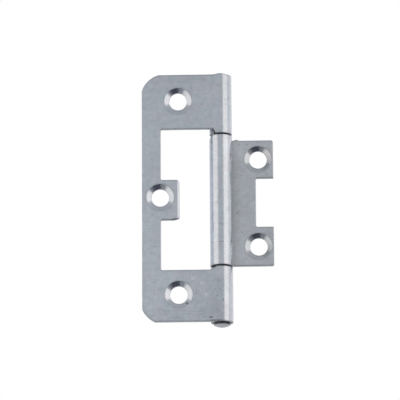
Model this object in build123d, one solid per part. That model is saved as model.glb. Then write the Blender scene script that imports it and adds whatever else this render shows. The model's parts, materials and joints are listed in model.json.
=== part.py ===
from build123d import *
from math import acos, asin, cos, degrees, sin
import os

# A flush hinge laid open. Both leaves are punched from sheet and curled round one pin, and the
# inner leaf swings until it lies inside the window of the outer leaf, in the same plane.
# Lengths are in millimetres. Every piece is drawn round the pin, whose axis is Z, with the
# countersinks facing -Y, the outer leaf towards -X and the inner leaf towards +X. At the end
# the pieces are moved to the frame of the outer leaf's screws.

# Sheet and pin
sheet = 1.4
pin_diameter = 3.8
grip_clearance = 0.02  # radial, in the outer knuckles, which hold the pin
swing_clearance = 0.07  # radial, in the inner knuckle, which turns on it

# Fold that leads from a leaf into its knuckle
setback = 0.4  # from the front of the outer knuckles back to the face of the leaf
slow_bend = 18.7  # radius of the reverse bend, at the middle of the sheet
tip_gap = 0.3  # between the tip of the curl and the back of the leaf

# Outer leaf
leaf_length = 75.0
leaf_reach = 23.3  # from the pin's axis to the far edge
spine_width = 5.6
corner_radius = 7.4
top_corner_reach = 5.0  # from the square corner to each end of its arc
bottom_corner_reach = 3.8

# Window, and the tab that stands in it
window_height = 42.8
window_drop = 0.63  # its middle lies this far below the middle of the leaf
window_corner = 0.4
tab_drop = 0.8  # the middle of the tab lies this far below the middle of the leaf
tab_height = 12.15
tab_length = 5.45
tab_top_round = 1.0
tab_bottom_round = 0.5
tab_slant_run = 1.7  # slant at the lower corner of the tip
tab_slant_rise = 0.45
tab_bevel_width = 0.6
tab_bevel_depth = 0.3

# Knuckles, and the slanted reliefs beside them
upper_knuckle_step = 1.35  # how far the upper knuckle reaches into the height of the window
lower_knuckle_step = 1.1
knuckle_gap = 0.4
crown_height = 0.25  # bulge that curling leaves on the free end of the upper knuckle
crown_width = 3.6
relief_edge = 1.4  # from the pin's axis to the inner end of each slant
upper_relief_run = 0.6
lower_relief_run = 1.7

# Inner leaf, as its clearances inside the window when the hinge is closed
upper_end_clearance = 2.6
lower_end_clearance = 2.0
spine_clearance = 2.25
tab_side_clearance = 1.35
tab_end_clearance = 2.0
notch_corner = 0.4
inner_corner_cut = 0.4
shoulder_run = 0.55  # slant at the upper free corner of the inner knuckle
shoulder_drop = 1.2
root_step_start = 2.4  # where the wider root of the knuckle begins to narrow
root_step_run = 1.0
nib_place = 4.55  # from the pin's axis to the shearing nib on the top edge
nib_width = 1.5
nib_height = 0.3

# Screw holes
screw_hole = 5.2
outer_sink = 8.1
inner_sink = 8.0
sink_land = 0.5  # straight wall left below each countersink
screw_line = 12.55  # from the pin's axis to the outer leaf's two end holes
screw_end_distance = 8.1
middle_screw_margin = 5.4  # from the far edge of the outer leaf
inner_screw_margin = 4.5  # from the far edge of the inner leaf

# Pin ends
pin_recess = 0.1  # top of the pin below the upper knuckle
pin_chamfer = 0.3
head_diameter = 4.9
head_gap = 0.45
head_rim = 0.2
head_point = 0.75  # height of the shallow cone below the rim
head_swell = 0.1

# Sizes that follow
outer_bore = pin_diameter / 2 + grip_clearance
inner_bore = pin_diameter / 2 + swing_clearance
outer_curl = outer_bore + sheet
inner_curl = inner_bore + sheet
leaf_face = outer_curl - setback  # from the pin's axis to the face that the curl starts on
leaf_top = leaf_length / 2
spine_edge = leaf_reach - spine_width
tab_edge = spine_edge - tab_length
tab_top = tab_height / 2 - tab_drop
tab_bottom = -tab_height / 2 - tab_drop
window_top = window_height / 2 - window_drop
window_bottom = -window_height / 2 - window_drop
outer_knuckle_top = window_top - upper_knuckle_step
outer_knuckle_bottom = window_bottom + lower_knuckle_step
inner_knuckle_top = outer_knuckle_top - knuckle_gap
inner_knuckle_bottom = outer_knuckle_bottom + knuckle_gap
inner_top = window_top - upper_end_clearance
inner_bottom = window_bottom + lower_end_clearance
inner_reach = spine_edge - spine_clearance
notch_edge = tab_edge - tab_end_clearance
notch_top = tab_top + tab_side_clearance
notch_bottom = tab_bottom - tab_side_clearance
upper_screw = (inner_top + notch_top) / 2  # in the middle of each leg of the inner leaf
lower_screw = (inner_bottom + notch_bottom) / 2
punch_depth = 4 * (leaf_face + sheet)  # longer than any wall that a punch has to clear


def fold(bore, reach):
    """Plan faces of a leaf that runs towards -X: its strip, and the curl that it ends in."""
    middle = bore + sheet / 2
    leaf_middle = leaf_face - sheet / 2
    lead = acos(1 - (middle - leaf_middle) / (middle + slow_bend))
    flat_end = -(middle + slow_bend) * sin(lead)
    flat = Line((-reach, -leaf_middle), (flat_end, -leaf_middle))
    bend = TangentArc(flat @ 1, (-middle * sin(lead), -middle * cos(lead)), tangent=flat % 1)
    tip_turn = asin((leaf_face - sheet - tip_gap) / (bore + sheet))
    start = -90 - degrees(lead)
    curl = CenterArc((0, 0), middle, start, 180 + degrees(tip_turn) - start)
    return trace(flat + bend, sheet), trace(curl, sheet)


def outer_outline():
    """Outline of the outer leaf in X and Z, which runs on past its knuckles."""
    far = -leaf_reach
    past = outer_curl + sheet
    upper_arc = corner_arc((far, leaf_top), top_corner_reach, -top_corner_reach)
    lower_arc = corner_arc((far, -leaf_top), bottom_corner_reach, bottom_corner_reach)
    crown = ThreePointArc(
        (-crown_width / 2, leaf_top), (0, leaf_top + crown_height), (crown_width / 2, leaf_top),
    )
    before = Line(upper_arc @ 1, crown @ 0)
    after = Polyline(crown @ 1, (past, leaf_top), (past, -leaf_top), lower_arc @ 1)
    edge = Line(lower_arc @ 0, upper_arc @ 0)
    return make_face([upper_arc, before, crown, after, lower_arc, edge])


def rise(face, bottom, top):
    """Solid of a plan face between two heights."""
    return Pos(0, 0, bottom) * extrude(face, top - bottom)


def through(outline):
    """Solid of an outline drawn in X and Z, long enough in Y to cut any wall."""
    return extrude(Plane.XZ * outline, punch_depth, both=True)


def corner_arc(corner, along_x, along_z):
    """Arc that rounds off a corner, between points at the given offsets from it."""
    start = Vector(*corner) + Vector(0, along_z)
    end = Vector(*corner) + Vector(along_x, 0)
    middle = (start + end) / 2
    half_chord = (end - start).length / 2
    bulge = corner_radius - (corner_radius**2 - half_chord**2) ** 0.5
    towards = (Vector(*corner) - middle).normalized()
    return ThreePointArc(start, middle + towards * bulge, end)


def corners_at(outline, x):
    """Corners of an outline that lie at the given X, the lowest first."""
    return outline.vertices().filter_by(lambda v: abs(v.X - x) < sheet / 10).sort_by(Axis.Y)


def countersunk_hole(x, face, z, sink):
    """Tool for a screw hole through a leaf whose countersunk face lies at the given Y."""
    hole = screw_hole / 2
    wide = sink / 2
    profile = Polyline(
        (0, -sheet), (hole, -sheet), (hole, sink_land), (wide, sheet), (wide, 2 * sheet), (0, 2 * sheet),
        close=True,
    )
    tool = revolve(Plane.XZ * make_face(profile), Axis.Z)
    return Pos(x, face + sheet, z) * Rot(90, 0, 0) * tool


def window_outline():
    """Opening of the outer leaf: a window with a slanted relief at each knuckle, round the tab."""
    window = make_face(Polyline(
        (-spine_edge, window_bottom),
        (-spine_edge, window_top),
        (-relief_edge - upper_relief_run, window_top),
        (-relief_edge, outer_knuckle_top),
        (0, outer_knuckle_top),
        (0, outer_knuckle_bottom),
        (-relief_edge, outer_knuckle_bottom),
        (-relief_edge - lower_relief_run, window_bottom),
        close=True,
    ))
    tab = make_face(Polyline(
        (-leaf_reach, tab_bottom),
        (-tab_edge - tab_slant_run, tab_bottom),
        (-tab_edge, tab_bottom + tab_slant_rise),
        (-tab_edge, tab_top),
        (-leaf_reach, tab_top),
        close=True,
    ))
    opening = window - tab
    opening = fillet(corners_at(opening, -spine_edge), window_corner)
    opening = fillet(corners_at(opening, -tab_edge)[0], tab_bottom_round)
    return fillet(corners_at(opening, -tab_edge)[-1], tab_top_round)


def make_outer_leaf():
    strip, curl = fold(outer_bore, leaf_reach)
    crest = leaf_top + crown_height
    outline = outer_outline()
    leaf = rise(strip, -leaf_top, crest) & through(outline - window_outline())
    leaf += rise(curl, outer_knuckle_top, crest) & through(outline)
    leaf += rise(curl, -leaf_top, outer_knuckle_bottom)
    bevel = make_face(Polyline((0, 0), (0, tab_bevel_depth), (-tab_bevel_width, 0), close=True))
    leaf -= Pos(-tab_edge, -leaf_face) * rise(bevel, tab_bottom, tab_top)
    for height in (leaf_top - screw_end_distance, screw_end_distance - leaf_top):
        leaf -= countersunk_hole(-screw_line, -leaf_face, height, outer_sink)
    leaf -= countersunk_hole(middle_screw_margin - leaf_reach, -leaf_face, 0, outer_sink)
    return leaf


def inner_outline():
    """Outline of the inner leaf in X and Z, with its wider root, notch and shearing nib."""
    narrow = root_step_start + root_step_run
    nib = ThreePointArc(
        (nib_place - nib_width / 2, inner_top),
        (nib_place, inner_top + nib_height),
        (nib_place + nib_width / 2, inner_top),
    )
    before = Polyline(
        (0, inner_knuckle_top), (root_step_start, inner_knuckle_top), (narrow, inner_top), nib @ 0,
    )
    after = Polyline(
        nib @ 1, (inner_reach, inner_top), (inner_reach, inner_bottom), (narrow, inner_bottom),
        (root_step_start, inner_knuckle_bottom), (0, inner_knuckle_bottom), (0, inner_knuckle_top),
    )
    outline = make_face([before, nib, after])
    outline = chamfer(outline.vertices().group_by(Axis.X)[-1], inner_corner_cut)
    notch = Pos(notch_edge, notch_bottom) * Rectangle(
        inner_reach, notch_top - notch_bottom, align=Align.MIN,
    )
    outline -= notch
    return fillet(corners_at(outline, notch_edge), notch_corner)


def shoulder_cut():
    """Tool that slants the upper free corner of the inner knuckle."""
    slant = Polyline(
        (-inner_curl - shoulder_run, inner_knuckle_top - 2 * shoulder_drop),
        (-inner_curl + shoulder_run, inner_knuckle_top),
        (-inner_curl - shoulder_run, inner_knuckle_top),
        close=True,
    )
    return through(make_face(slant))


def make_inner_leaf():
    strip, curl = fold(inner_bore, inner_reach)
    turned = Rot(0, 0, 180)
    leaf = rise(turned * strip, inner_knuckle_bottom, inner_knuckle_top) & through(inner_outline())
    leaf += rise(turned * curl, inner_knuckle_bottom, inner_knuckle_top)
    leaf -= shoulder_cut()
    for height in (upper_screw, lower_screw):
        leaf -= countersunk_hole(inner_reach - inner_screw_margin, leaf_face - sheet, height, inner_sink)
    return leaf


def make_hinge_pin():
    shank = pin_diameter / 2
    head = head_diameter / 2
    top = leaf_top - pin_recess
    under_head = -leaf_top - head_gap
    rim = under_head - head_rim
    point = SagittaArc((0, rim - head_point), (head, rim), -head_swell)
    side = Polyline(
        point @ 1, (head, under_head), (shank, under_head), (shank, top - pin_chamfer),
        (shank - pin_chamfer, top), (0, top), point @ 0,
    )
    return revolve(Plane.XZ * make_face([point, side]), Axis.Z)


# The frame's origin is midway between the outer leaf's end screws, on its back face
to_frame = Pos(screw_line, leaf_face - sheet, 0)
nodes = {
    "outer_leaf": make_outer_leaf(),
    "inner_leaf": make_inner_leaf(),
    "hinge_pin": make_hinge_pin(),
}

os.makedirs("parts", exist_ok=True)
for name, shape in nodes.items():
    export_step(to_frame * shape, f"parts/{name}.step")
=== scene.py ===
import json
import math

import bpy
from mathutils import Matrix, Vector


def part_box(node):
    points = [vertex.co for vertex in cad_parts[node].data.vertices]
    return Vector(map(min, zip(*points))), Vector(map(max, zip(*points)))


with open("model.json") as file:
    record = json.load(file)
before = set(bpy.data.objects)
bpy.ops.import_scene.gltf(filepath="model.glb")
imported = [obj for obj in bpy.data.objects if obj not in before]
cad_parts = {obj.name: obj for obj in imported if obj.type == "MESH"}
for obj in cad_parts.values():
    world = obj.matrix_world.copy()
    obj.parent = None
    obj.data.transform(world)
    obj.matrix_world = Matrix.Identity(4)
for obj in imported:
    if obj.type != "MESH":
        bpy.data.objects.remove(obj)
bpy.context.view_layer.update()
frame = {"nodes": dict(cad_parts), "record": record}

# Lengths are in metres, apart from those of the part and its materials, which are in millimetres
MM = 0.001

# Camera
SENSOR = 0.036
LENS = 0.300
FRAME_WIDTH = 118.04 * MM  # what the picture spans at the object
AIM = Vector((6.296, 1.52, -0.26)) * MM
SIDE = 1.6  # degrees, azimuth of the camera, positive to the right
RISE = -14.5  # degrees, below the horizon
LEAN = 0.374  # degrees, of the picture's right side upwards

# Edges of the punched sheet and of the turned pin
EDGE_ROUND = {"outer_leaf": 0.14, "inner_leaf": 0.14, "hinge_pin": 0.09}
EDGE_STEPS = 3
JOIN_WITHIN = 0.001
FLAT_WITHIN = 0.3  # degrees between faces that are joined into one
SMOOTH_UP_TO = 30.0  # degrees between faces that are shaded as one

# Pin and knuckles
pin_low, pin_high = (corner / MM for corner in map(Vector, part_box("hinge_pin")))
PIN_X, PIN_Y = (pin_low.x + pin_high.x) / 2, (pin_low.y + pin_high.y) / 2
KNUCKLE_REACH = 3.5  # in X from the pin's axis, beyond which the flats lie
BORE_RADIUS = 1.92
CROWN_HALF = 1.8  # of the width of the crown on the upper knuckle's end
CROWN_FOOT = 37.5

# Reach round the places whose slivers are gathered
CROWN_REACH = 0.24
TIP_REACH = 0.56

# Traces of how the hinge was made, and painted shade along its edges and in its gaps
RING_PITCH = 0.3  # of the rings that a cutting tool leaves
EDGE_SHADE_WIDTH = 0.7  # of the painted shade along the punched edges that face up or down
BEVEL_RAYS = 6  # of the bevel node that finds those edges
GAP_SHADE_RADIUS = 2.6  # of the painted shade round the pin on the knuckles' ends, in the gaps between them, within its fading edge
UNSHADED_TIP = 0.65  # height of the part of the pin's head that has no painted shade
# How dark the painted shade in the gaps is
GAP_SHADE_TONE = -0.75

# Colours of the zinc plating
TEAL = (0.334, 0.380, 0.415, 1)
LAVENDER = (0.360, 0.372, 0.421, 1)
PIN_GREY = (0.345, 0.367, 0.404, 1)

# Marks on the front of the outer leaf, with one painted shade among them: centre in X and Z, half sizes in X
# and Z, and tone
NICKS_AND_GAP_SHADE = (
    (2.4, -32.0, 0.4, 0.5, -0.7),
    (12.95, -31.2, 0.3, 0.4, -0.5),
    (9.5, -36.3, 0.8, 0.25, -0.5),
    (6.5, -35.4, 0.9, 0.2, -0.3),
    (7.6, -36.2, 0.9, 0.2, -0.3),
    # This row is painted shade along the foot of the lower knuckle, over the gap above the pin's head
    (10.9, -37.2, 2.4, 0.3, -0.35),
    (11.3, -30.0, 0.5, 0.5, -0.18),
    (14.7, -23.4, 0.3, 0.5, -0.15),
    (14.1, 28.2, 0.25, 0.35, -0.3),
    (14.9, 30.3, 0.25, 0.4, -0.25),
    (-1.0, -6.7, 1.4, 0.35, -0.5),
)
SCRATCHES = (
    (-5.5, -33.9, 1.2, 0.16, -0.2),
    (-3.2, -34.3, 1.6, 0.16, -0.15),
    (-0.3, -36.4, 1.8, 0.18, -0.2),
    (1.5, -34.2, 1.3, 0.16, -0.18),
    (2.4, -35.3, 1.5, 0.16, -0.15),
    (4.6, -34.6, 1.6, 0.18, -0.2),
    (5.0, -29.2, 1.3, 0.16, -0.15),
)
SMUDGES = (
    (4.1, -24.5, 0.9, 0.7, 0.2),
    (6.6, -26.1, 0.8, 0.7, 0.2),
    (7.9, -29.5, 0.7, 0.9, 0.14),
    (4.9, -28.7, 1.2, 0.8, -0.07),
    (11.8, -25.6, 0.8, 0.8, -0.12),
    (-7.2, -16.9, 1.2, 0.7, -0.12),
    (10.2, -34.6, 4.5, 3.5, -0.13),
    (-8.0, -15.0, 4.0, 14.0, 0.08),
    (-8.0, -30.5, 5.0, 6.0, 0.08),
    (-3.5, -24.8, 4.0, 3.0, 0.08),
    (-9.0, -4.5, 2.5, 6.0, 0.05),
    (-8.5, 15.5, 3.0, 6.0, 0.05),
    (3.0, 36.0, 16.0, 5.0, -0.07),
    (11.2, -28.5, 2.4, 8.0, -0.08),
    (14.7, 29.5, 2.0, 12.0, -0.07),
)

# Marks on the front of the inner leaf, given the same way, with a painted reflection among them
INNER_MARKS_AND_REFLECTION = (
    # These two rows are a painted dark reflection running down the middle knuckle
    (9.9, 17.0, 0.2, 2.8, -0.5),
    (9.88, 12.5, 0.18, 3.6, -0.3),
    (12.2, -13.7, 4.5, 0.16, -0.11),
    (12.45, -13.7, 0.9, 0.25, -0.2),
    (17.9, 16.8, 0.55, 0.5, -0.2),
    (20.3, 16.9, 0.45, 0.4, -0.2),
    (11.4, -1.6, 0.6, 0.5, -0.15),
    (12.5, -6.5, 0.6, 0.2, -0.12),
    (12.5, -8.2, 0.6, 0.2, -0.15),
    (12.5, -10.1, 0.6, 0.2, -0.12),
    (17.6, -1.9, 1.6, 3.0, -0.05),
    (17.5, 15.5, 4.5, 4.0, 0.10),
    (17.5, -15.5, 4.5, 5.0, 0.07),
    (23.0, -4.5, 2.0, 6.0, 0.05),
)


def towards(azimuth, elevation):
    """Direction from the object; azimuth 0 is the front, and positive is to the right."""
    a = math.radians(azimuth)
    e = math.radians(elevation)
    return Vector((math.sin(a) * math.cos(e), -math.cos(a) * math.cos(e), math.sin(e)))


def face_object(thing, direction, distance):
    """Puts a camera, lamp or card out in a direction, looking back at the object."""
    bpy.context.scene.collection.objects.link(thing)
    thing.location = AIM + direction * distance
    thing.rotation_mode = "QUATERNION"
    thing.rotation_quaternion = (-direction).to_track_quat("-Z", "Y")


def make_camera():
    """Camera at the photo's viewing angle, turned by the photo's lean."""
    data = bpy.data.cameras.new("camera")
    data.sensor_width = SENSOR / MM
    data.lens = LENS / MM
    data.clip_start = 0.01
    data.clip_end = 20
    camera = bpy.data.objects.new("camera", data)
    face_object(camera, towards(SIDE, RISE), FRAME_WIDTH * LENS / SENSOR)
    camera.rotation_quaternion @= Matrix.Rotation(math.radians(-LEAN), 3, "Z").to_quaternion()
    bpy.context.scene.camera = camera


def make_world():
    """Plain white all round."""
    world = bpy.data.worlds.new("studio")
    world.use_nodes = True
    world.node_tree.nodes["Background"].inputs["Color"].default_value = (1, 1, 1, 1)
    world.node_tree.nodes["Background"].inputs["Strength"].default_value = 1.0
    bpy.context.scene.world = world


def make_panel(name, first, last, elevation, height, glow):
    """Soft light panel between two azimuths, which adds the given glow to the white round it."""
    distance = 1.0
    data = bpy.data.lights.new(name, "AREA")
    data.shape = "RECTANGLE"
    data.size = 2 * distance * math.tan(math.radians(last - first) / 2)
    data.size_y = height
    data.energy = max(glow) * math.pi * data.size * data.size_y
    data.color = [part / max(glow) for part in glow]
    panel = bpy.data.objects.new(name, data)
    face_object(panel, towards((first + last) / 2, elevation), distance)
    panel.visible_camera = False


def plain_material(name, colour):
    """Matt paint."""
    material = bpy.data.materials.new(name)
    material.use_nodes = True
    shader = material.node_tree.nodes["Principled BSDF"]
    shader.inputs["Base Color"].default_value = (*colour, 1)
    shader.inputs["Roughness"].default_value = 1.0
    return material


def make_sheet(name, width, height, colour):
    """Flat rectangle of the studio that the camera doesn't see, facing its own +Z."""
    mesh = bpy.data.meshes.new(name)
    w, h = width / 2, height / 2
    mesh.from_pydata([(-w, -h, 0), (w, -h, 0), (w, h, 0), (-w, h, 0)], [], [(0, 1, 2, 3)])
    mesh.materials.append(plain_material(name, colour))
    sheet = bpy.data.objects.new(name, mesh)
    sheet.visible_camera = False
    return sheet


def make_card(name, direction, distance, width, height, colour):
    """Card for the metal to reflect."""
    face_object(make_sheet(name, width, height, colour), direction, distance)


def make_floor(size, depth):
    """Pale floor well below, where the camera sees the white of the studio."""
    floor = make_sheet("floor", size, size, (0.85, 0.85, 0.85))
    bpy.context.scene.collection.objects.link(floor)
    floor.location.z = -depth


class Nodes:
    """Short forms for building a node tree. A value is a socket to link or a plain setting."""

    def __init__(self, tree):
        self.tree = tree

    def add(self, kind, **settings):
        node = self.tree.nodes.new(kind)
        for name, value in settings.items():
            setattr(node, name, value)
        return node

    def put(self, value, socket):
        """Links a socket or sets a plain value."""
        if isinstance(value, bpy.types.NodeSocket):
            self.tree.links.new(value, socket)
        else:
            socket.default_value = value

    def feed(self, node, *values):
        """Puts values into the first inputs of a node."""
        for value, socket in zip(values, node.inputs):
            self.put(value, socket)

    def math(self, operation, *values):
        node = self.add("ShaderNodeMath", operation=operation)
        self.feed(node, *values)
        return node.outputs[0]

    def vector(self, operation, *values):
        node = self.add("ShaderNodeVectorMath", operation=operation)
        self.feed(node, *values)
        return node.outputs["Value" if operation == "LENGTH" else "Vector"]

    def split(self, vector):
        """X, Y and Z of a vector."""
        node = self.add("ShaderNodeSeparateXYZ")
        self.put(vector, node.inputs[0])
        return node.outputs

    def layers(self, base, *patterns):
        """The base plus each pattern times its amount."""
        for pattern, amount in patterns:
            base = self.math("MULTIPLY_ADD", pattern, amount, base)
        return base

    def product(self, first, *others):
        """All the values times each other."""
        for value in others:
            first = self.math("MULTIPLY", first, value)
        return first

    def fit(self, value, low, high, to_low=0.0, to_high=1.0, kind="LINEAR"):
        """Goes from one value to another while the given value goes from low to high."""
        node = self.add("ShaderNodeMapRange", interpolation_type=kind)
        self.feed(node, value, low, high, to_low, to_high)
        return node.outputs["Result"]

    def blend(self, factor, first, second, kind="MIX"):
        """Blend of two colours, which are inputs 6 and 7 of its node."""
        node = self.add("ShaderNodeMix", data_type="RGBA", blend_type=kind)
        self.put(factor, node.inputs[0])
        self.put(first, node.inputs[6])
        self.put(second, node.inputs[7])
        return node.outputs[2]

    def noise(self, place, size, detail=2.0, rough=0.5, stretch=(1, 1, 1)):
        """Noise of about -1 to 1 whose patches have the given size."""
        node = self.add("ShaderNodeTexNoise")
        self.put(self.vector("DIVIDE", place, stretch), node.inputs["Vector"])
        node.inputs["Scale"].default_value = 1 / size
        node.inputs["Detail"].default_value = detail
        node.inputs["Roughness"].default_value = rough
        return self.fit(node.outputs[0], 0.25, 0.75, -1.0, 1.0)


def geometry_group(name):
    """Empty group for a modifier; gives its tree, its node helper, the mesh going in and the way out."""
    tree = bpy.data.node_groups.new(name, "GeometryNodeTree")
    tree.interface.new_socket("Geometry", in_out="INPUT", socket_type="NodeSocketGeometry")
    tree.interface.new_socket("Geometry", in_out="OUTPUT", socket_type="NodeSocketGeometry")
    nodes = Nodes(tree)
    return tree, nodes, nodes.add("NodeGroupInput").outputs[0], nodes.add("NodeGroupOutput").inputs[0]


def smooth_shading_group():
    """Node group that drops the stored normals and smooths every edge up to the given angle."""
    tree, nodes, skin, result = geometry_group("smooth_shading")
    drop = nodes.add("GeometryNodeRemoveAttribute")
    faces = nodes.add("GeometryNodeSetShadeSmooth")
    edges = nodes.add("GeometryNodeSetShadeSmooth", domain="EDGE")
    angle = nodes.add("GeometryNodeInputMeshEdgeAngle")
    gentle = nodes.add("FunctionNodeCompare", operation="LESS_THAN")
    nodes.put("custom_normal", drop.inputs["Name"])
    nodes.put(angle.outputs["Unsigned Angle"], gentle.inputs["A"])
    nodes.put(math.radians(SMOOTH_UP_TO), gentle.inputs["B"])
    nodes.put(skin, drop.inputs["Geometry"])
    nodes.put(drop.outputs["Geometry"], faces.inputs["Geometry"])
    nodes.put(faces.outputs["Geometry"], edges.inputs["Geometry"])
    nodes.put(gentle.outputs["Result"], edges.inputs["Shade Smooth"])
    nodes.put(edges.outputs["Geometry"], result)
    return tree


def gather_group(name, places, reach):
    """Node group that draws the mesh's corners near each place into that place."""
    tree, nodes, skin, result = geometry_group(name)
    here = nodes.add("GeometryNodeInputPosition").outputs[0]
    for place in places:
        shift = nodes.vector("SUBTRACT", Vector(place) * MM, here)
        near = nodes.math("LESS_THAN", nodes.vector("LENGTH", shift), reach * MM)
        draw = nodes.add("GeometryNodeSetPosition")
        nodes.put(skin, draw.inputs["Geometry"])
        nodes.put(near, draw.inputs["Selection"])
        nodes.put(shift, draw.inputs["Offset"])
        skin = draw.outputs[0]
    nodes.put(skin, result)
    return tree


def crown_ends():
    """Ends of the foot of the upper knuckle's crown, on the bore's rim."""
    rise = math.sqrt(BORE_RADIUS**2 - CROWN_HALF**2)
    return [(PIN_X + x, PIN_Y + y, CROWN_FOOT) for x in (-CROWN_HALF, CROWN_HALF) for y in (-rise, rise)]


def join_corners(piece, name):
    """Joins corners of a mesh that lie in one place."""
    weld = piece.modifiers.new(name, "WELD")
    weld.merge_threshold = JOIN_WITHIN * MM


def soften_edges(piece, width, smooth_shading, gather):
    """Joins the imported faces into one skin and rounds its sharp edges.

    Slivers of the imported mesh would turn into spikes, so the gather group, if any, goes first.
    """
    if gather:
        piece.modifiers.new("gather", "NODES").node_group = gather
    join_corners(piece, "weld")
    flats = piece.modifiers.new("flats", "DECIMATE")
    flats.decimate_type = "DISSOLVE"
    flats.angle_limit = math.radians(FLAT_WITHIN)
    piece.modifiers.new("shade", "NODES").node_group = smooth_shading
    edge = piece.modifiers.new("edge", "BEVEL")
    edge.width = width * MM
    edge.segments = EDGE_STEPS
    edge.limit_method = "ANGLE"
    edge.angle_limit = math.radians(SMOOTH_UP_TO)
    edge.use_clamp_overlap = False
    edge.loop_slide = False
    edge.harden_normals = True
    join_corners(piece, "last")


def screw_centres(name):
    """Centres in X and Z of the holes of one mount."""
    mounts = {mount["name"]: mount for mount in frame["record"]["mounts"]}
    half = mounts[name]["dims"].get("spacing_y_mm", 0) / 2
    x, _, z = (value / MM for value in mounts[name]["pos_m"])
    return [(x, z + half), (x, z - half)] if half else [(x, z)]


def metal(name):
    """Bare metal material; gives it, its node helper, the place in millimetres, the normal and the shader."""
    material = bpy.data.materials.new(name)
    material.use_nodes = True
    nodes = Nodes(material.node_tree)
    shader = material.node_tree.nodes["Principled BSDF"]
    shader.inputs["Metallic"].default_value = 1.0
    source = nodes.add("ShaderNodeTexCoord")
    place = nodes.vector("MULTIPLY", source.outputs["Object"], (1 / MM, 1 / MM, 1 / MM))
    return material, nodes, place, source.outputs["Normal"], shader


def shaded(nodes, colour, lightness):
    """A colour times a lightness."""
    grey = nodes.add("ShaderNodeCombineXYZ")
    nodes.feed(grey, lightness, lightness, lightness)
    return nodes.blend(1.0, colour, grey.outputs[0], "MULTIPLY")


def set_bump(nodes, height, shader):
    """Bump whose height is in millimetres."""
    bump = nodes.add("ShaderNodeBump")
    bump.inputs["Strength"].default_value = 1.0
    bump.inputs["Distance"].default_value = MM
    nodes.put(height, bump.inputs["Height"])
    nodes.put(bump.outputs["Normal"], shader.inputs["Normal"])


def from_nearest(nodes, place, centres):
    """Distance from the axis of the nearest hole."""
    nearest = None
    for x, z in centres:
        away = nodes.vector("MULTIPLY", nodes.vector("SUBTRACT", place, (x, 0, z)), (1, 0, 1))
        distance = nodes.vector("LENGTH", away)
        nearest = distance if nearest is None else nodes.math("MINIMUM", nearest, distance)
    return nearest


def from_pin(nodes, place):
    """Distance from the pin's axis."""
    away = nodes.vector("MULTIPLY", nodes.vector("SUBTRACT", place, (PIN_X, PIN_Y, 0)), (1, 1, 0))
    return nodes.vector("LENGTH", away)


def beyond_curl(nodes, place):
    """How far a point lies outside the knuckles, measured in X."""
    off_axis = nodes.math("ABSOLUTE", nodes.math("SUBTRACT", nodes.split(place)[0], PIN_X))
    return nodes.math("SUBTRACT", off_axis, KNUCKLE_REACH)


def curl_end(nodes, place, normal_y, back):
    """1 on the sheet's shorn end, which lies in the knuckle just behind the leaf's flat."""
    x, y, _ = nodes.split(place)
    behind = nodes.math("GREATER_THAN", y, back + 0.05)
    in_knuckle = nodes.product(behind, nodes.math("LESS_THAN", x, PIN_X - 1.0))
    return nodes.product(nodes.math("LESS_THAN", normal_y, -0.5), in_knuckle)


def painted_edge_shade(nodes):
    """1 at the edges that run across the leaf, facing up or down, where dark shade is painted."""
    rounded = nodes.add("ShaderNodeBevel", samples=BEVEL_RAYS)
    rounded.inputs["Radius"].default_value = EDGE_SHADE_WIDTH * MM
    turn = nodes.math("ABSOLUTE", nodes.split(rounded.outputs[0])[2])
    return nodes.fit(turn, 0.02, 0.25)


def turned_rings(nodes, distance):
    """Rings of -1 to 1 round an axis, left by a cutting tool."""
    return nodes.math("SINE", nodes.math("MULTIPLY", distance, 2 * math.pi / RING_PITCH))


def sum_of_marks_and_painted_light(nodes, place, marks_and_painted_light, back):
    """Tone of the marks on the front of a leaf, and of the painted shade and painted reflection listed among
    them, with ragged outlines.
    """
    front = nodes.math("LESS_THAN", nodes.split(place)[1], back - 0.3)
    ragged = nodes.noise(place, size=0.3, detail=3.0, rough=0.6, stretch=(2, 2, 1))
    tones = 0.0
    for x, z, wide, high, tone in marks_and_painted_light:
        away = nodes.vector("SUBTRACT", place, (x, 0, z))
        away = nodes.vector("MULTIPLY", away, (1 / wide, 0, 1 / high))
        off_centre = nodes.layers(nodes.vector("LENGTH", away), (ragged, 0.35))
        tones = nodes.layers(tones, (nodes.fit(off_centre, 0.3, 1.1, tone, 0.0), front))
    return tones


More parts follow.
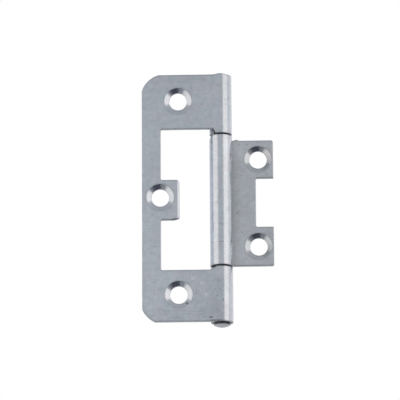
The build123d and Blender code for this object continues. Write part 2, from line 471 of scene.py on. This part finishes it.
class LeafSurface:
    """Zinc-plated rolled sheet, with turned countersinks and punched walls.

    Its zones are values in the node tree that go from 0 to 1, its patterns go from about -1 to 1, and
    from_hole and outside are lengths.
    """

    def __init__(self, name, holes, rim_radius, back):
        self.material, self.nodes, self.place, normal, self.shader = metal(name)
        nodes, place = self.nodes, self.place
        normal_x, normal_y, self.normal_z = nodes.split(normal)

        self.mottle = nodes.noise(place, size=1.6, detail=3.0, rough=0.6)
        self.grain = nodes.noise(place, size=0.5, rough=0.6)

        # Countersinks and their rims
        self.from_hole = from_nearest(nodes, place, holes)
        self.in_sink = nodes.fit(self.from_hole, rim_radius - 0.15, rim_radius, 1.0, 0.0)
        off_rim = nodes.math("ABSOLUTE", nodes.math("SUBTRACT", self.from_hole, rim_radius))
        self.rim = nodes.fit(off_rim, 0.0, 0.4, 1.0, 0.0)

        # Punched walls, which face up, down or to a side, and level faces
        self.outside = beyond_curl(nodes, place)
        self.on_flat = nodes.math("GREATER_THAN", self.outside, 0.0)
        across = nodes.math("ABSOLUTE", self.normal_z)
        along = nodes.product(nodes.math("ABSOLUTE", normal_x), self.on_flat)
        turned = nodes.math("MAXIMUM", across, along)
        self.wall = nodes.fit(turned, 0.75, 0.98, kind="SMOOTHSTEP")
        self.level = nodes.fit(turned, 0.1, 0.4, 1.0, 0.0)

        # Painted shade along the edges and in the gaps round the pin, and the sheet's shorn end
        off_sink = nodes.fit(self.from_hole, rim_radius + 0.05, rim_radius + 0.25)
        off_wall = nodes.math("SUBTRACT", 1.0, self.wall)
        self.edge_shade = nodes.product(painted_edge_shade(nodes), off_wall, off_sink)
        near_pin = nodes.fit(from_pin(nodes, place), GAP_SHADE_RADIUS, GAP_SHADE_RADIUS + 0.5, 1.0, 0.0)
        self.gap_shade = nodes.product(near_pin, self.wall)
        self.shorn = curl_end(nodes, place, normal_y, back)

    def wear(self):
        """Uneven plating, fine scratches and pits, in tones."""
        nodes, place = self.nodes, self.place
        clouds = nodes.noise(place, size=6.0)
        streaks = nodes.noise(place, size=0.3, detail=3.0, rough=0.6, stretch=(12, 12, 1))
        dashes = nodes.noise(place, size=0.32, detail=1.0, stretch=(7, 7, 0.6))
        scratched = nodes.noise(place, size=8.0)
        dots = nodes.noise(nodes.vector("ADD", place, (5, 17, 3)), size=0.45, detail=1.0, stretch=(1, 1, 1.6))
        pitted = nodes.noise(place, size=11.0, detail=1.0)
        scratches = nodes.product(nodes.fit(dashes, 0.62, 0.9), nodes.fit(scratched, 0.1, 0.6))
        pits = nodes.product(nodes.fit(dots, 0.6, 0.9), nodes.fit(pitted, -0.2, 0.5, 0.2, 1.0))
        plating = nodes.layers(0.0, (self.mottle, 0.09), (clouds, 0.04), (self.grain, 0.03), (streaks, 0.02))
        return nodes.layers(plating, (scratches, -0.12), (pits, -0.2))

    def lightness(self, upper_sink_shade, lower_sink_shade, marks_and_painted_light):
        """How light the surface is, where 1 is plain plating, with painted shade in the sinks, along the
        edges and in the gaps round the pin; the lower part of a sink faces up.
        """
        nodes = self.nodes
        less_in_sink = nodes.layers(1.0, (self.in_sink, -0.6))
        # Painted shade in the sinks, set apart for their upper part and their lower part, which faces up
        sink_shade = nodes.fit(self.normal_z, 0.1, 0.45, upper_sink_shade, lower_sink_shade)
        worn = nodes.layers(1.0, (self.wear(), less_in_sink), (marks_and_painted_light, 1.0))
        rimmed = nodes.layers(worn, (self.in_sink, sink_shade), (self.rim, -0.14), (self.edge_shade, -0.28))
        return nodes.layers(rimmed, (self.wall, 0.12), (self.gap_shade, GAP_SHADE_TONE), (self.shorn, 0.8))

    def colour(self, flat_shade, root_shade):
        """Plain plating on the knuckles; the flat takes a painted shade, which changes from its root
        outwards.
        """
        nodes = self.nodes
        hues = nodes.noise(nodes.vector("ADD", self.place, (31, 7, 13)), size=3.0)
        plating = nodes.blend(nodes.fit(hues, -1.0, 1.0), TEAL, LAVENDER)
        outwards = nodes.fit(self.outside, 0.0, 2.5, kind="SMOOTHSTEP")
        # Painted shade on the flat, from its root beside the knuckle outwards
        painted_shade = nodes.blend(outwards, (*root_shade, 1), (*flat_shade, 1))
        return nodes.blend(1.0, plating, nodes.blend(self.on_flat, (1, 1, 1, 1), painted_shade), "MULTIPLY")

    def roughness(self):
        patterns = ((self.mottle, 0.03), (self.shorn, 0.4), (self.wall, 0.35), (self.in_sink, -0.03))
        return self.nodes.layers(0.22, *patterns)

    def height(self):
        """Faint waves of the rolled sheet and rings in the sinks, in millimetres."""
        nodes, place = self.nodes, self.place
        wide_waves = nodes.noise(place, size=4.0, detail=1.0)
        small_waves = nodes.noise(place, size=1.7, detail=1.0)
        waves = nodes.layers(0.0, (wide_waves, 0.007), (small_waves, 0.005), (self.grain, 0.0015))
        off_sink = nodes.math("SUBTRACT", 1.0, self.in_sink)
        flattened = nodes.fit(self.outside, -1.0, 1.5, 1.0, 0.3)
        wobble = nodes.layers(self.from_hole, (nodes.noise(place, size=1.2), 0.05))
        rings = nodes.product(turned_rings(nodes, wobble), self.in_sink)
        return nodes.layers(nodes.product(waves, self.level, off_sink, flattened), (rings, 0.004))


def make_leaf_steel(name, holes, rim_radius, upper_sink_shade, lower_sink_shade, back, flat_shade, root_shade, marks_and_painted_light):
    """Material of a leaf; back is where the back of its flat lies in Y, the sinks have two tones of painted
    shade, and the flat takes a painted shade.
    """
    leaf = LeafSurface(name, holes, rim_radius, back)
    nodes, shader = leaf.nodes, leaf.shader
    tones = sum_of_marks_and_painted_light(nodes, leaf.place, marks_and_painted_light, back)
    light = leaf.lightness(upper_sink_shade, lower_sink_shade, tones)
    nodes.put(shaded(nodes, leaf.colour(flat_shade, root_shade), light), shader.inputs["Base Color"])
    nodes.put(nodes.fit(leaf.shorn, 0.0, 1.0, 1.0, 0.2), shader.inputs["Metallic"])
    nodes.put(leaf.roughness(), shader.inputs["Roughness"])
    set_bump(nodes, leaf.height(), shader)
    return leaf.material


def make_pin_steel(name):
    """Zinc-plated turned wire with rings round its axis, and painted shade above the tip of its head, in the
    gaps under the knuckles.
    """
    material, nodes, place, _, shader = metal(name)
    clouds = nodes.noise(place, size=1.5, detail=3.0)
    grain = nodes.noise(place, size=0.5, stretch=(1, 1, 12))
    # Painted shade on the head's rim and the shank, which lie in the gaps under the knuckles
    unshaded_top = pin_low.z + UNSHADED_TIP
    gap_shade = nodes.fit(nodes.split(place)[2], unshaded_top, unshaded_top + 0.15)
    light = nodes.layers(1.0, (clouds, 0.06), (grain, 0.03), (gap_shade, GAP_SHADE_TONE))
    nodes.put(shaded(nodes, PIN_GREY, light), shader.inputs["Base Color"])
    nodes.put(nodes.layers(0.3, (clouds, 0.05)), shader.inputs["Roughness"])
    rings = turned_rings(nodes, from_pin(nodes, place))
    set_bump(nodes, nodes.layers(0.0, (rings, 0.001), (grain, 0.0006)), shader)
    return material


bpy.context.scene.view_settings.view_transform = "Standard"
make_camera()
make_world()
make_panel("left_panel", first=-94, last=-32, elevation=0, height=1.4, glow=(0.93, 0.82, 0.71))
make_panel("right_panel", first=27, last=73, elevation=9, height=0.93, glow=(1.15, 1.00, 0.87))
make_panel("side_panel", first=73, last=150, elevation=9, height=0.93, glow=(0.51, 0.44, 0.43))
make_panel("back_panel", first=-180, last=-94, elevation=9, height=0.93, glow=(0.10, 0.13, 0.19))
make_card("low_card", towards(18, -50), distance=0.62, width=1.1, height=0.7, colour=(0.45, 0.45, 0.47))
make_card("dark_card", towards(20, -45), distance=0.58, width=0.4, height=0.6, colour=(0.10, 0.10, 0.14))
make_card("back_card", towards(180, RISE), distance=0.6, width=0.5, height=0.5, colour=(0.8, 0.8, 0.8))
make_floor(size=6.0, depth=0.8)

MATERIALS = {
    "outer_leaf": make_leaf_steel(
        "outer_leaf",
        holes=screw_centres("outer_screws") + screw_centres("middle_screw"),
        rim_radius=4.1,
        upper_sink_shade=0.0,
        lower_sink_shade=-0.1,
        back=0.0,
        flat_shade=(1, 1, 1),
        root_shade=(1, 1, 1),
        marks_and_painted_light=NICKS_AND_GAP_SHADE + SCRATCHES + SMUDGES,
    ),
    "inner_leaf": make_leaf_steel(
        "inner_leaf",
        holes=screw_centres("inner_screws"),
        rim_radius=4.05,
        upper_sink_shade=-0.08,
        lower_sink_shade=-0.06,
        back=4.4,
        # The inner leaf's flat is painted darker, most at its root beside the knuckle, as shade
        flat_shade=(0.94, 0.93, 0.907),
        root_shade=(0.827, 0.803, 0.77),
        marks_and_painted_light=INNER_MARKS_AND_REFLECTION,
    ),
    "hinge_pin": make_pin_steel("hinge_pin"),
}
GATHERED = {
    "outer_leaf": gather_group("gather_crown", crown_ends(), CROWN_REACH),
    "hinge_pin": gather_group("gather_tip", [(PIN_X, PIN_Y, pin_low.z)], TIP_REACH),
}
smooth_shading = smooth_shading_group()
for name, node in frame["nodes"].items():
    soften_edges(node, EDGE_ROUND[name], smooth_shading, GATHERED.get(name))
    node.data.materials[0] = MATERIALS[name]
